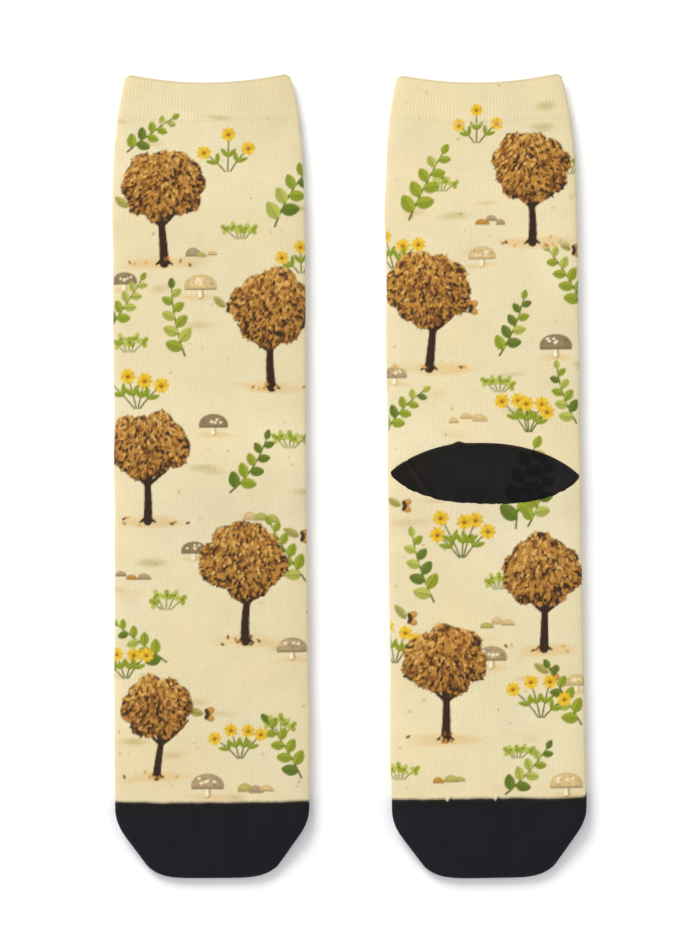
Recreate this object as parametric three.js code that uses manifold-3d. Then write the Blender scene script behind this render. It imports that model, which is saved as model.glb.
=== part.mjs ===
// Pair of knitted crew socks, laid flat side by side: one instep up, one heel up
// Millimetres, +Z up, +Y towards the cuffs, origin on the floor under the middle of the pair

import * as THREE from 'three';
import { mergeVertices } from 'three/addons/utils/BufferGeometryUtils.js';
import Module from 'manifold-3d';

const wasm = await Module();
wasm.setup();

// Lengths along one sock, from the corners of its mouth to the tip of its toe
const SOCK_LENGTH = 401;
const CUFF_DEPTH = 22;
const LEG_FILLS_OUT_AT = 75;
const HEEL_CENTRE = 199.6;
const TOE_LENGTH = 38.5;

// Widths of the flattened tube
const CUFF_TOP_WIDTH = 82;
const CUFF_BASE_WIDTH = 90.5;
const LEG_TOP_WIDTH = 92.6;
const LEG_WIDTH = 95.6;
const TOE_ROOT_WIDTH = 97;
const TOE_END_WIDTH = 63.8;
const TOE_SIDE_SLOPE = 0.72;
const TOE_SIDE_BLEND = 5;

// The mouth and the cuff line dip in the middle, and the end of the toe bulges there
const MOUTH_DIP = 4.5;
const CUFF_LINE_DIP = 2.6;
const DIP_ENDS_AT = 60;
const TOE_END_BULGE = 5.5;
const TOE_END_POWER = 5;

// Thickness of the sock as it lies, and of its knitted wall
const CUFF_THICKNESS = 9;
const TUBE_THICKNESS = 10.4;
const HEEL_SWELL = 1.2;
const HEEL_SWELL_REACH = 34;
const TOE_END_THICKNESS = 4.6;
const TOE_THINS_OVER = 34;
const WALL = 1.6;
const TOE_WALL = 5;

// Section: a flat underside, round folds at the sides and a low crown
const CROWN_POWER = 4;
const UNDERSIDE_POWER = 5;
const UNDERSIDE_FLATTENING = 1.06;
const SECTION_SIDES = 32;

// Heel pocket: a lens across one face of the sock, its edges arched by different amounts
const HEEL_WIDTH = 94;
const HEEL_RISE = 16;
const HEEL_FALL = 14.4;
const HEEL_TIP_SKEW = 1.5;
const HEEL_UPPER_POWER = 2.2;
const HEEL_UPPER_ROUNDING = 0.85;
const HEEL_LOWER_POWER = 2.6;
const HEEL_LOWER_ROUNDING = 0.75;
const HEEL_EDGE_STEPS = 16;

// Layout of the pair
const SOCK_SPACING = 136.7;
const LEFT_LEAN = THREE.MathUtils.degToRad(0.35);
const RIGHT_LEAN = THREE.MathUtils.degToRad(0.75);
const SEAM_GAP = 0.3;

// Numbers of rings along the tube, close together where the toe narrows
const CUFF_RINGS = 3;
const TUBE_RINGS = 13;
const TOE_RINGS = 9;
const CUTTER_SIZE = 600;
const MERGE_DISTANCE = 1e-4;

// Finish of the yarns
const CREAM = new THREE.Color(0.82, 0.7, 0.47);
const CHARCOAL = new THREE.Color(0.018, 0.018, 0.023);
const YARN_ROUGHNESS = 0.9;

const { lerp, smoothstep } = THREE.MathUtils;

// Lower of two values, with a smooth change from one to the other
function smoothMin(a, b, blend) {
  const nearness = Math.max(blend - Math.abs(a - b), 0) / blend;
  return Math.min(a, b) - nearness * nearness * blend / 4;
}

function cuffHalfWidth(along) {
  return lerp(CUFF_TOP_WIDTH, CUFF_BASE_WIDTH, along / CUFF_DEPTH) / 2;
}

function tubeHalfWidth(along) {
  const leg = lerp(LEG_TOP_WIDTH, LEG_WIDTH, smoothstep(along, CUFF_DEPTH, LEG_FILLS_OUT_AT));
  const toeRoot = SOCK_LENGTH - TOE_LENGTH;
  const straight = lerp(leg, TOE_ROOT_WIDTH, smoothstep(along, HEEL_CENTRE, toeRoot)) / 2;
  const fromEnd = SOCK_LENGTH - TOE_END_BULGE - along;
  const slanted = TOE_END_WIDTH / 2 + TOE_SIDE_SLOPE * fromEnd;
  return smoothMin(straight, slanted, TOE_SIDE_BLEND);
}

function thickness(along) {
  const body = lerp(CUFF_THICKNESS, TUBE_THICKNESS, smoothstep(along, 0, LEG_FILLS_OUT_AT));
  const fromHeel = Math.abs(along - HEEL_CENTRE);
  const swell = HEEL_SWELL * (1 - smoothstep(fromHeel, 0, HEEL_SWELL_REACH));
  const toeEnd = SOCK_LENGTH - TOE_END_BULGE;
  const thinning = Math.max(along - (toeEnd - TOE_THINS_OVER), 0) / TOE_THINS_OVER;
  return lerp(body + swell, TOE_END_THICKNESS, thinning * thinning);
}

// How far a ring's middle lies below its side points, towards the toe
function sag(along, across) {
  const upper = lerp(MOUTH_DIP, CUFF_LINE_DIP, THREE.MathUtils.clamp(along / CUFF_DEPTH, 0, 1));
  const mouth = upper * (1 - smoothstep(along, CUFF_DEPTH, DIP_ENDS_AT)) * (1 - across ** 2);
  const toeRoot = SOCK_LENGTH - TOE_LENGTH;
  const nearEnd = smoothstep(along, toeRoot, SOCK_LENGTH - TOE_END_BULGE);
  const end = TOE_END_BULGE * nearEnd * (1 - Math.abs(across) ** TOE_END_POWER);
  return mouth + end;
}

// One ring of the tube, set in from its outer surface by the wall, or by nothing
function ring(along, halfWidth, inset) {
  const height = thickness(along) - 2 * inset;
  const points = [];
  for (let i = 0; i < SECTION_SIDES; i += 1) {
    const angle = (2 * Math.PI * i) / SECTION_SIDES;
    const top = Math.sin(angle) >= 0;
    const power = 2 / (top ? CROWN_POWER : UNDERSIDE_POWER);
    const across = Math.sign(Math.cos(angle)) * Math.abs(Math.cos(angle)) ** power;
    const upright = Math.abs(Math.sin(angle)) ** power;
    const offset = top ? upright : -Math.min(upright * UNDERSIDE_FLATTENING, 1);
    points.push(new THREE.Vector3(
      (halfWidth - inset) * across,
      SOCK_LENGTH / 2 - along - sag(along, across),
      inset + (height / 2) * (1 + offset),
    ));
  }
  return points;
}

// Closed solid through a row of rings, with flat fans over the first and the last
function loft(rings) {
  const positions = [];
  const triangles = [];
  const sides = rings[0].length;
  rings.flat().forEach((point) => positions.push(point.x, point.y, point.z));
  for (let r = 0; r < rings.length - 1; r += 1) {
    for (let i = 0; i < sides; i += 1) {
      const a = r * sides + i;
      const b = r * sides + ((i + 1) % sides);
      triangles.push(a, b, a + sides, b, b + sides, a + sides);
    }
  }
  // Each end is closed by strips that join the points above to those below
  const last = (rings.length - 1) * sides;
  for (let i = 0; i < sides / 2; i += 1) {
    const upper = [i, i + 1];
    const lower = [(sides - i) % sides, sides - i - 1];
    const [p, q] = upper;
    const [t, s] = lower;
    if (t !== p) {
      triangles.push(p, t, q);
      triangles.push(last + p, last + q, last + t);
    }
    if (s !== q) {
      triangles.push(q, t, s);
      triangles.push(last + q, last + s, last + t);
    }
  }
  const geometry = new THREE.BufferGeometry();
  geometry.setAttribute('position', new THREE.Float32BufferAttribute(positions, 3));
  geometry.setIndex(triangles);
  return geometry;
}

function evenly(first, last, count) {
  return Array.from({ length: count }, (_, i) => lerp(first, last, i / (count - 1)));
}

function toSolid(geometry) {
  const bare = geometry.clone();
  bare.deleteAttribute('normal');
  bare.deleteAttribute('uv');
  const merged = mergeVertices(bare, MERGE_DISTANCE);
  return new wasm.Manifold(new wasm.Mesh({
    numProp: 3,
    vertProperties: new Float32Array(merged.attributes.position.array),
    triVerts: new Uint32Array(merged.index.array),
  }));
}

function toGeometry(solid) {
  const mesh = solid.getMesh();
  const geometry = new THREE.BufferGeometry();
  geometry.setAttribute('position', new THREE.Float32BufferAttribute(mesh.vertProperties, 3));
  geometry.setIndex(Array.from(mesh.triVerts));
  geometry.computeVertexNormals();
  return geometry;
}

// Block that holds all of a sock on the cuff's side, or the toe's side, of a line across it
function blockBeyond(along, side) {
  const block = new THREE.BoxGeometry(CUTTER_SIZE, CUTTER_SIZE, CUTTER_SIZE);
  block.translate(0, SOCK_LENGTH / 2 - along + side * (CUTTER_SIZE + SEAM_GAP) / 2, 0);
  return toSolid(block);
}

// Cuff: the short, narrower tube round the mouth
function makeCuff() {
  const end = CUFF_DEPTH - SEAM_GAP / 2;
  const outer = evenly(0, end, CUFF_RINGS).map((s) => ring(s, cuffHalfWidth(s), 0));
  const bore = evenly(-WALL, end + WALL, CUFF_RINGS).map((s) => ring(s, cuffHalfWidth(s), WALL));
  return toSolid(loft(outer)).subtract(toSolid(loft(bore)));
}

// Tube from the cuff line to the closed end of the toe, hollow all the way
function makeTube() {
  const toeRoot = SOCK_LENGTH - TOE_LENGTH;
  const toeEnd = SOCK_LENGTH - TOE_END_BULGE;
  const start = CUFF_DEPTH + SEAM_GAP / 2;
  const lengths = [
    ...evenly(start, toeRoot, TUBE_RINGS),
    ...evenly(toeRoot, toeEnd, TOE_RINGS).slice(1),
  ];
  const boreLengths = [
    ...evenly(start - WALL, toeRoot, TUBE_RINGS),
    ...evenly(toeRoot, toeEnd - TOE_WALL, TOE_RINGS).slice(1),
  ];
  const outer = lengths.map((s) => ring(s, tubeHalfWidth(s), 0));
  const bore = boreLengths.map((s) => ring(s, tubeHalfWidth(s), WALL));
  return toSolid(loft(outer)).subtract(toSolid(loft(bore)));
}

// Upright cutter of the heel pocket's outline, on the upper or the lower half of the sock
function makeHeelCutter(heelUp, growth) {
  const half = HEEL_WIDTH / 2 + growth;
  const middle = SOCK_LENGTH / 2 - HEEL_CENTRE;
  const outline = [];
  const addEdge = (from, side, rise, power, rounding) => {
    for (let i = 0; i < HEEL_EDGE_STEPS; i += 1) {
      const u = from * Math.cos((Math.PI * i) / HEEL_EDGE_STEPS);
      const arch = (rise + growth) * (1 - Math.abs(u) ** power) ** rounding;
      outline.push(new THREE.Vector2(half * u, middle - HEEL_TIP_SKEW * u + side * arch));
    }
  };
  addEdge(-1, 1, HEEL_RISE, HEEL_UPPER_POWER, HEEL_UPPER_ROUNDING);
  addEdge(1, -1, HEEL_FALL, HEEL_LOWER_POWER, HEEL_LOWER_ROUNDING);
  const prism = new THREE.ExtrudeGeometry(new THREE.Shape(outline), {
    depth: CUTTER_SIZE,
    bevelEnabled: false,
  });
  const middleHeight = (TUBE_THICKNESS + HEEL_SWELL) / 2;
  const base = heelUp ? middleHeight - growth : middleHeight + growth - CUTTER_SIZE;
  prism.translate(0, 0, base);
  return toSolid(prism);
}

function addPiece(group, name, solid, color) {
  const finish = { color, roughness: YARN_ROUGHNESS, metalness: 0 };
  const material = new THREE.MeshStandardMaterial(finish);
  const piece = new THREE.Mesh(toGeometry(solid), material);
  piece.name = name;
  group.add(piece);
}

function makeSock(side, heelUp) {
  const sock = new THREE.Group();
  const tube = makeTube();
  const heelCutter = makeHeelCutter(heelUp, 0);
  const heelClearance = makeHeelCutter(heelUp, SEAM_GAP);
  const toeLine = SOCK_LENGTH - TOE_LENGTH;
  const aroundHeel = tube.subtract(heelClearance);
  const belowAnkle = aroundHeel.intersect(blockBeyond(HEEL_CENTRE, -1));
  addPiece(sock, `${side}_cuff`, makeCuff(), CREAM);
  addPiece(sock, `${side}_leg`, aroundHeel.intersect(blockBeyond(HEEL_CENTRE, 1)), CREAM);
  addPiece(sock, `${side}_heel`, tube.intersect(heelCutter), CHARCOAL);
  addPiece(sock, `${side}_foot`, belowAnkle.intersect(blockBeyond(toeLine, 1)), CREAM);
  addPiece(sock, `${side}_toe`, tube.intersect(blockBeyond(toeLine, -1)), CHARCOAL);
  return sock;
}

const leftSock = makeSock('left', false);
leftSock.position.x = -SOCK_SPACING / 2;
leftSock.rotation.z = LEFT_LEAN;

const rightSock = makeSock('right', true);
rightSock.position.x = SOCK_SPACING / 2;
rightSock.rotation.z = RIGHT_LEAN;

const pair = new THREE.Group();
pair.add(leftSock, rightSock);

// The middle of the pair's footprint is the origin
const footprint = new THREE.Box3().setFromObject(pair);
const centre = footprint.getCenter(new THREE.Vector3());
pair.position.set(-centre.x, -centre.y, -footprint.min.z);

export default pair;
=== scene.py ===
import math
import random

import bpy
import numpy as np
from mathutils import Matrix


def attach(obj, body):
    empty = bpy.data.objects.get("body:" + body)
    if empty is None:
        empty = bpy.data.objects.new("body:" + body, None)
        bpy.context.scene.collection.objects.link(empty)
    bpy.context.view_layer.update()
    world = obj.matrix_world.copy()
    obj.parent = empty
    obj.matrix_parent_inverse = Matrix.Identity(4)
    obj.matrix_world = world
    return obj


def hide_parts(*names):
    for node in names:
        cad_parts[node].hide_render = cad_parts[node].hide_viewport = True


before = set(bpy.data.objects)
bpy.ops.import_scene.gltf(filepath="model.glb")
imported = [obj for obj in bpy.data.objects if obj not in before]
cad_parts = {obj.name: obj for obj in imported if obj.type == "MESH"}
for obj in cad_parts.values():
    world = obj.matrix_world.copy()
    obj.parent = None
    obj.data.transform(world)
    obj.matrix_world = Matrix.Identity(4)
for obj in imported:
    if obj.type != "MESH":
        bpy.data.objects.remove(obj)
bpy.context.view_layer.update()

# Sizes of one sock, in millimetres, measured along it from the corners of its mouth
MM = 0.001
SOCK_LENGTH = 401.0
CUFF_DEPTH = 22.0
SHOULDER = 14.0
LEG_FILLS_OUT_AT = 75.0
HEEL_CENTRE = 199.6
TOE_LENGTH = 38.5
TOE_LINE = SOCK_LENGTH - TOE_LENGTH

# Widths of the flattened tube
CUFF_TOP_WIDTH = 82.0
CUFF_BASE_WIDTH = 90.5
LEG_TOP_WIDTH = 92.6
LEG_WIDTH = 95.6
TOE_ROOT_WIDTH = 97.0
TOE_END_WIDTH = 63.8
TOE_SIDE_SLOPE = 0.72
TOE_SIDE_BLEND = 5.0

# The mouth and the cuff line dip in the middle, and the end of the toe bulges there
MOUTH_DIP = 4.5
CUFF_LINE_DIP = 2.6
DIP_ENDS_AT = 60.0
CORNER_DROP = 1.3
CORNER_REACH = 3.0
TOE_END_BULGE = 5.5
TOE_END_POWER = 5
TOE_END = SOCK_LENGTH - TOE_END_BULGE

# Thickness of the sock as it lies, and of its knitted wall
CUFF_THICKNESS = 9.0
TUBE_THICKNESS = 10.4
HEEL_SWELL = 1.2
HEEL_SWELL_REACH = 34.0
TOE_END_THICKNESS = 4.6
TOE_THINS_OVER = 34.0
WALL = 1.3
CUFF_WALL = 1.6
RIM_RADIUS = 0.8
UNDERSIDE_LIFT = 0.15

# Rumples on the upper face, broad to fine: height, and size across and along
RUMPLES = ((0.34, (34, 60)), (0.15, (15, 34)), (0.05, (5, 9)))
RUMPLE_SEEDS = {"left": 11, "right": 47}
UPPER_FACE_STARTS = 3.0
UPPER_FACE_FULL = 7.0

# Wander of the side folds
FOLD_WANDER = 0.35
FOLD_WANDER_SIZE = (30, 21)
FOLD_SEEDS = {"left": 5, "right": 23}
FLAT_HALF_WIDTH = 47

# Section: a flat underside, round folds at the sides and a low crown
CROWN_POWER = 4
UNDERSIDE_POWER = 5
UNDERSIDE_FLATTENING = 1.06

# Toe cap: its rounded tip, its closed inner end, and its ragged upper edge
TOE_TIP_RADIUS = 2.2
TOE_SEAM = 5.0
TOE_SEAM_ROUNDS_OVER = 6.0
SLIT = 0.04
TOE_PROUD = 0.12
TOE_UNDERLAP = 1.6
TOE_EDGE_FADES_OVER = 7.0
TOE_EDGE_SHIFT = {"left": -0.15, "right": 1.6}
TOE_EDGE_SEEDS = {"left": 61, "right": 83}
TOE_EDGE_RISE = 3.0
TOE_NOTCHES = (-20.5, 3.0)
TOE_STREAK_SEEDS = {"left": 91, "right": 97}

# Heel pocket: a lens across one face, with a bump and a pressed crease where it lies on top
HEEL_WIDTH = 94.6
HEEL_RISE = 16.0
HEEL_FALL = 14.4
HEEL_TIP_SKEW = 1.5
HEEL_EDGE_PROUD = 0.12
HEEL_PROUD = 0.9
HEEL_OFF_FLOOR = 0.05
HEEL_WALL = 0.8
HEEL_LOW_CURVE = (2.6, 0.75)
HEEL_HIGH_CURVE = (2.2, 0.85)
HEEL_BUMP = 1.0
HEEL_BUMP_PLACE = -13
HEEL_BROWN_PLACE = -38
CREASE_PLACE = (-33.8, 0.2)
CREASE_FACING = (0.85, 0.53)
HEEL_PRINT_REACH = 52
HEEL_PRINT_ROWS = (175, 225)
HEEL_PRINT_STEP = 0.5
HEEL_SEEDS = {"lower edge": 31, "fold": 37, "wear": 53, "streaks": 57, "brown": 59, "fray": 67}

# Layout of the pair
SOCK_SPACING = 136.7
LEANS = {"left": math.radians(0.35), "right": math.radians(0.75)}
SIDES = {"left": -1, "right": 1}

# Knit: one wale is a column of stitches, one course is a row
WALE = 1.14
COURSE = 0.86
CUFF_RIB = 1.8
CUFF_RIB_DEPTH = 0.05

# Relief of the stitches in millimetres, the fuzz's share of it, and how much painted shade darkens the
# grooves
LEG_RELIEF = 0.12
RIB_RELIEF = 0.07
BLACK_RELIEF = 0.22
FUZZ = 0.35
LEG_GROOVE_SHADE = 0.065
RIB_GROOVE_SHADE = 0.08

# Spacing of the points that carry the print: on the upper face, underneath, and along
PRINT_STEP = 0.55
UNDERSIDE_STEP = 1.4
ROW_STEP = 0.55
EDGE_ROW = 0.05
FOLD_REACH = 9.0

# Spacing and number of the points elsewhere
CUFF_STEP = 0.3
CUFF_UNDERSIDE_STEP = 0.6
CUFF_ROW_STEP = 0.7
RIM_ROWS = (0, 0.05, 0.15, 0.3, 0.5)
LINING_ROWS = 12
TOE_STEP = 0.42
TOE_ROWS = 60
TOE_TIP_ROWS = 7
TOE_INNER_ROWS = 14
HEEL_COLUMNS = 260
HEEL_ROWS = 72


def smoothstep(value, start, end):
    t = np.clip((np.asarray(value, float) - start) / (end - start), 0, 1)
    return t * t * (3 - 2 * t)


def mix(a, b, share):
    return a + (b - a) * share


def bell(distance, width):
    return np.exp(-((np.asarray(distance) / width) ** 2))


def smooth_lower(a, b, blend):
    """The lower of two values, with a smooth change from one to the other."""
    nearness = np.maximum(blend - np.abs(a - b), 0) / blend
    return np.minimum(a, b) - nearness**2 * blend / 4


def soft_noise(x, y, size, seed):
    """Smooth random hills from -1 to 1, about size millimetres across."""
    table = np.random.default_rng(seed).uniform(-1, 1, (64, 64))
    u, v = np.asarray(x) / size[0] + 31.3, np.asarray(y) / size[1] + 29.7
    column, row = np.floor(u).astype(int), np.floor(v).astype(int)
    across, down = smoothstep(u - column, 0, 1), smoothstep(v - row, 0, 1)

    def corner(i, j):
        return table[(column + i) % 64, (row + j) % 64]

    upper = mix(corner(0, 0), corner(1, 0), across)
    lower = mix(corner(0, 1), corner(1, 1), across)
    return mix(upper, lower, down)


# Shape of the flattened tube
def half_width(along):
    cuff = mix(CUFF_TOP_WIDTH, CUFF_BASE_WIDTH, np.clip(along, 0, CUFF_DEPTH) / CUFF_DEPTH)
    leg = mix(LEG_TOP_WIDTH, LEG_WIDTH, smoothstep(along, CUFF_DEPTH, LEG_FILLS_OUT_AT))
    leg = mix(cuff, leg, smoothstep(along, CUFF_DEPTH, CUFF_DEPTH + SHOULDER))
    straight = mix(leg, TOE_ROOT_WIDTH, smoothstep(along, HEEL_CENTRE, TOE_LINE)) / 2
    slanted = TOE_END_WIDTH / 2 + TOE_SIDE_SLOPE * (TOE_END - along)
    return smooth_lower(straight, slanted, TOE_SIDE_BLEND)


def thickness(along):
    body = mix(CUFF_THICKNESS, TUBE_THICKNESS, smoothstep(along, 0, LEG_FILLS_OUT_AT))
    swell = HEEL_SWELL * (1 - smoothstep(np.abs(along - HEEL_CENTRE), 0, HEEL_SWELL_REACH))
    thinning = np.clip(along - (TOE_END - TOE_THINS_OVER), 0, TOE_THINS_OVER) / TOE_THINS_OVER
    return mix(body + swell, TOE_END_THICKNESS, thinning**2)


def sag(along, across):
    """How far a point in a ring lies towards the toe from the ring's sides."""
    upper = mix(MOUTH_DIP, CUFF_LINE_DIP, np.clip(along / CUFF_DEPTH, 0, 1))
    mouth = upper * (1 - smoothstep(along, CUFF_DEPTH, DIP_ENDS_AT)) * (1 - across**2)
    near_corner = smoothstep(np.abs(across), 1 - 2 * CORNER_REACH / CUFF_TOP_WIDTH, 1)
    corner = CORNER_DROP * near_corner**2 * (1 - smoothstep(along, 0, 2 * CORNER_REACH))
    near_end = smoothstep(along, TOE_LINE, TOE_END)
    end = TOE_END_BULGE * near_end * (1 - np.abs(across) ** TOE_END_POWER)
    return mouth + corner + end


def section(angle):
    """A point of the section: from -1 to 1 across, and from -1 at the floor to 1 on top."""
    top = np.sin(angle) >= 0
    power = np.where(top, 2 / CROWN_POWER, 2 / UNDERSIDE_POWER)
    across = np.sign(np.cos(angle)) * np.abs(np.cos(angle)) ** power
    upright = np.abs(np.sin(angle)) ** power
    return across, np.where(top, upright, -np.minimum(upright * UNDERSIDE_FLATTENING, 1))


# Round the section, places are millimetres of knitting, counted from the right fold over the top
ANGLES = np.linspace(0, 2 * math.pi, 8001)
ACROSS, UPRIGHT = section(ANGLES)
OUTLINE = np.stack([ACROSS * LEG_WIDTH / 2, UPRIGHT * TUBE_THICKNESS / 2])
ARC = np.concatenate([[0], np.cumsum(np.hypot(*np.diff(OUTLINE)))])
GIRTH = ARC[-1]
TOP_ARC = np.interp(math.pi / 2, ANGLES, ARC)
BELOW_ARC = np.interp(math.pi * 3 / 2, ANGLES, ARC)
FACE = TOP_ARC * 2
RIB_PITCH = GIRTH / round(GIRTH / CUFF_RIB)


def tube(around, along, inset=0.0, thinness=None):
    """Points of the tube, as rows along it of points around it."""
    across = np.interp(around, ARC, ACROSS)[None, :]
    upright = np.interp(around, ARC, UPRIGHT)[None, :]
    along = np.asarray(along, float)[:, None]
    inset = np.broadcast_to(np.asarray(inset, float).reshape(-1, 1), along.shape)
    height = np.maximum(thickness(along) - 2 * inset, 0)
    if thinness is not None:
        height = height * np.asarray(thinness)[:, None]
    middle = thickness(along) / 2
    x = (half_width(along) - inset) * across
    y = SOCK_LENGTH / 2 - along - sag(along, across)
    z = middle + height / 2 * upright
    return np.stack([x, y + 0 * x, z + 0 * x], axis=-1)


def outward(points):
    """Unit normals of rows of points that close on themselves, away from the tube's inside."""
    around = np.roll(points, -1, axis=1) - np.roll(points, 1, axis=1)
    along = np.gradient(points, axis=0)
    normal = np.cross(around, along)
    return normal / np.maximum(np.linalg.norm(normal, axis=-1, keepdims=True), 1e-9)


def rumple(side, x, y):
    """Gentle unevenness of limp knitting, in millimetres."""
    seed = RUMPLE_SEEDS[side]
    return sum(tall * soft_noise(x, y, size, seed + i) for i, (tall, size) in enumerate(RUMPLES))


def on_upper_face(z):
    return smoothstep(z, UPPER_FACE_STARTS, UPPER_FACE_FULL)


def lie(side, points):
    """Adds the rumples on the upper face and the unevenness of the side folds."""
    x, y, z = points[..., 0], points[..., 1], points[..., 2]
    under = 1 - smoothstep(z, 0.0, UPPER_FACE_STARTS)
    edge = np.clip(np.abs(x) / FLAT_HALF_WIDTH, 0, 1) ** 4
    wander = FOLD_WANDER * soft_noise(np.sign(x) * 40, y, FOLD_WANDER_SIZE, FOLD_SEEDS[side])
    moved = points.copy()
    moved[..., 2] += on_upper_face(z) * rumple(side, x, y) + under * UNDERSIDE_LIFT
    moved[..., 0] += np.sign(x) * edge * wander
    return moved


def set_down(side, points, centre):
    """Turns a sock's own points into the pair's, in millimetres."""
    lean = LEANS[side]
    x, y, z = points[..., 0], points[..., 1], points[..., 2]
    turned_x = x * math.cos(lean) - y * math.sin(lean) + SIDES[side] * SOCK_SPACING / 2
    turned_y = x * math.sin(lean) + y * math.cos(lean)
    return np.stack([turned_x - centre[0], turned_y - centre[1], z], axis=-1)


def footprint_centre():
    """Middle of the pair's box, which is the part's origin."""
    corners = []
    for side in SIDES:
        outline = tube(np.linspace(0, GIRTH, 400), np.linspace(0, TOE_END, 300))
        corners.append(set_down(side, outline, (0, 0)).reshape(-1, 3))
    corners = np.concatenate(corners)
    return (corners.min(axis=0) + corners.max(axis=0)) / 2


CENTRE = footprint_centre()


# Inks of the print, as light values from 0 to 1
def ink(red, green, blue):
    """A screen colour as light values."""
    return tuple((c / 255) ** 2.2 for c in (red, green, blue))


def shade(colour, factor):
    return tuple(c * factor for c in colour)


GROUND = ink(226, 211, 170)
PALE = ink(238, 226, 190)
ROSE = ink(222, 194, 156)
LINING = ink(240, 236, 226)
OCHRE = ink(180, 126, 54)
HONEY = ink(214, 166, 88)
RUSSET = ink(126, 80, 32)
BARK = ink(52, 34, 20)
UMBER = ink(70, 46, 24)
LEAF = ink(146, 158, 42)
LEAF_DEEP = ink(100, 118, 34)
LEAF_PALE = ink(176, 180, 80)
YELLOW = ink(232, 190, 44)
AMBER = ink(204, 144, 30)
SAND = ink(222, 194, 142)
TAN = ink(200, 172, 118)
TAUPE = ink(160, 138, 104)
STONE = ink(132, 112, 82)
OLIVE = ink(168, 160, 84)
JET = ink(28, 27, 34)
JET_EDGE = ink(27, 27, 25)
YARN_ENDS = ink(74, 70, 58)
HEEL_BLACK = ink(30, 28, 26)
HEEL_GHOST = ink(14, 14, 5)
HEEL_BROWN = ink(46, 34, 26)
HEEL_FRINGE = ink(104, 74, 40)
RIM_SHADE_GREY = ink(168, 152, 124)

# How much lighter the print is at each sock's folds, where it thins and partly as a painted highlight,
# or darker as painted shade on the right sock's right fold, and how far in
FOLD_TONES = {
    "left": ((-1, 1.06, 1.8), (1, 1.1, 2.8)),
    "right": ((-1, 1.06, 1.8), (1, 0.9, 1.6)),
}

# Seeds of the print's random draws
PRINT_SEEDS = {"left": 71, "right": 29}
CUFF_LINE_SEED = 3

# The left sock's print is a little darker than the right's, and the cuffs took more dye than the legs
SOCK_TONE = {"left": 0.92, "right": 0.95}
CUFF_DYE = (0.955, 0.95, 0.93)


class Cloth:
    """Knitting laid out flat: its columns and rows of stitches, and the ink at each."""

    def __init__(self, around, along):
        self.around = np.asarray(around)
        self.along = np.asarray(along)
        self.ink = np.empty((len(along), len(around), 3))
        self.ink[:] = GROUND

    def lay(self, x, y, reach, colour, cover, edge=0.5, strength=1.0):
        """Lays ink round a place. cover gives how deep inside the shape a point is."""
        along = SOCK_LENGTH / 2 - y
        first, last = np.searchsorted(self.along, (along - reach, along + reach))
        if first == last:
            return
        for turn in (-GIRTH, 0, GIRTH):
            around = TOP_ARC - x + turn
            left, right = np.searchsorted(self.around, (around - reach, around + reach))
            if left == right:
                continue
            local_x = (around - self.around[left:right])[None, :]
            local_y = (along - self.along[first:last])[:, None]
            depth = cover(local_x, local_y)
            share = np.clip(depth / edge + 0.5, 0, 1)[..., None] * strength
            patch = self.ink[first:last, left:right]
            patch += (np.array(colour) - patch) * share

    def at(self, x, y):
        """The ink at places on the sock, each taken from the nearest stitch."""
        column = np.searchsorted(self.around, TOP_ARC - x).clip(0, len(self.around) - 1)
        row = np.searchsorted(self.along, SOCK_LENGTH / 2 - y).clip(0, len(self.along) - 1)
        return self.ink[row, column]


def oval(wide, tall, lean=0.0):
    c, s = math.cos(lean), math.sin(lean)

    def cover(x, y):
        u, v = (x * c + y * s) / wide, (y * c - x * s) / tall
        return (1 - np.sqrt(u * u + v * v)) * min(wide, tall)

    return cover


def blade(length, width, lean, fullness=0.8, half=0):
    """A leaf or petal that starts at the place and points along lean. half keeps one side of it."""
    c, s = math.cos(lean), math.sin(lean)

    def cover(x, y):
        u, v = (x * c + y * s) / length, y * c - x * s
        inside = np.clip(u, 0, 1)
        body = width / 2 * np.sin(math.pi * inside**0.85) ** fullness
        depth = np.where((u > 0) & (u < 1), body - np.abs(v), -1)
        return np.minimum(depth, v * half) if half else depth

    return cover


def stroke(dx, dy, start, end):
    """A tapered brush stroke from the place to dx, dy away, start and end wide."""
    length = dx * dx + dy * dy

    def cover(x, y):
        t = np.clip((x * dx + y * dy) / length, 0, 1)
        return mix(start, end, t) / 2 - np.hypot(x - t * dx, y - t * dy)

    return cover


def line(cloth, points, width, taper, colour):
    """A stem or twig through a few points."""
    count = len(points) - 1
    for i in range(count):
        (x, y), (to_x, to_y) = points[i], points[i + 1]
        start = mix(width, width * taper, i / count)
        end = mix(width, width * taper, (i + 1) / count)
        reach = math.hypot(to_x - x, to_y - y) + width
        cloth.lay(x, y, reach, colour, stroke(to_x - x, to_y - y, start, end))


def curved(x, y, lean, length, bend, count=7):
    """Points of a stem that sets out along lean and bends as it grows."""
    points = [(x, y)]
    for i in range(count):
        turn = lean + bend * i / count
        x += math.cos(turn) * length / count
        y += math.sin(turn) * length / count
        points.append((x, y))
    return points


# Motifs: their counts, and their lengths in millimetres at size 1
TREE_GROWTH = 1.12
TRUNK_HEIGHT = 24
TRUNK_WIDTH = 4.2
ROOT_WIDTH = 2.6
BRANCH_WIDTH = 1.9
BRANCH_TURNS = (-0.85, -0.4, 0.4, 0.9)
CROWN_LOBES = 11
CROWN_LEAF_DENSITY = 2.2
CROWN_LEAF_WIDTH = 1.3
CROWN_TONES = ((0.34, BARK), (0.58, RUSSET), (0.92, OCHRE), (2, HONEY))
FALLEN_LEAVES = 7
TWIG_LENGTH = 36
TWIG_LEAVES = 9
TWIG_LEAF = (9.8, 6.6)
DAISY_STEMS = (13, 22)
DAISY_LEAF = (6.2, 2.6)
DAISY_PETALS = 9
DAISY_PETAL = (4.2, 2.3)
CAP_HALF = (8.4, 6.0)
CAP_GLOW = (6.2, 4.0)
CAP_SPECKLES = 26
CAP_SPOTS = 5
CLOVER_STEMS = 5
STONES = 3
STONE_GAP = 6.4
CLOUDS = 70
EARTH_MARKS = 46
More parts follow.
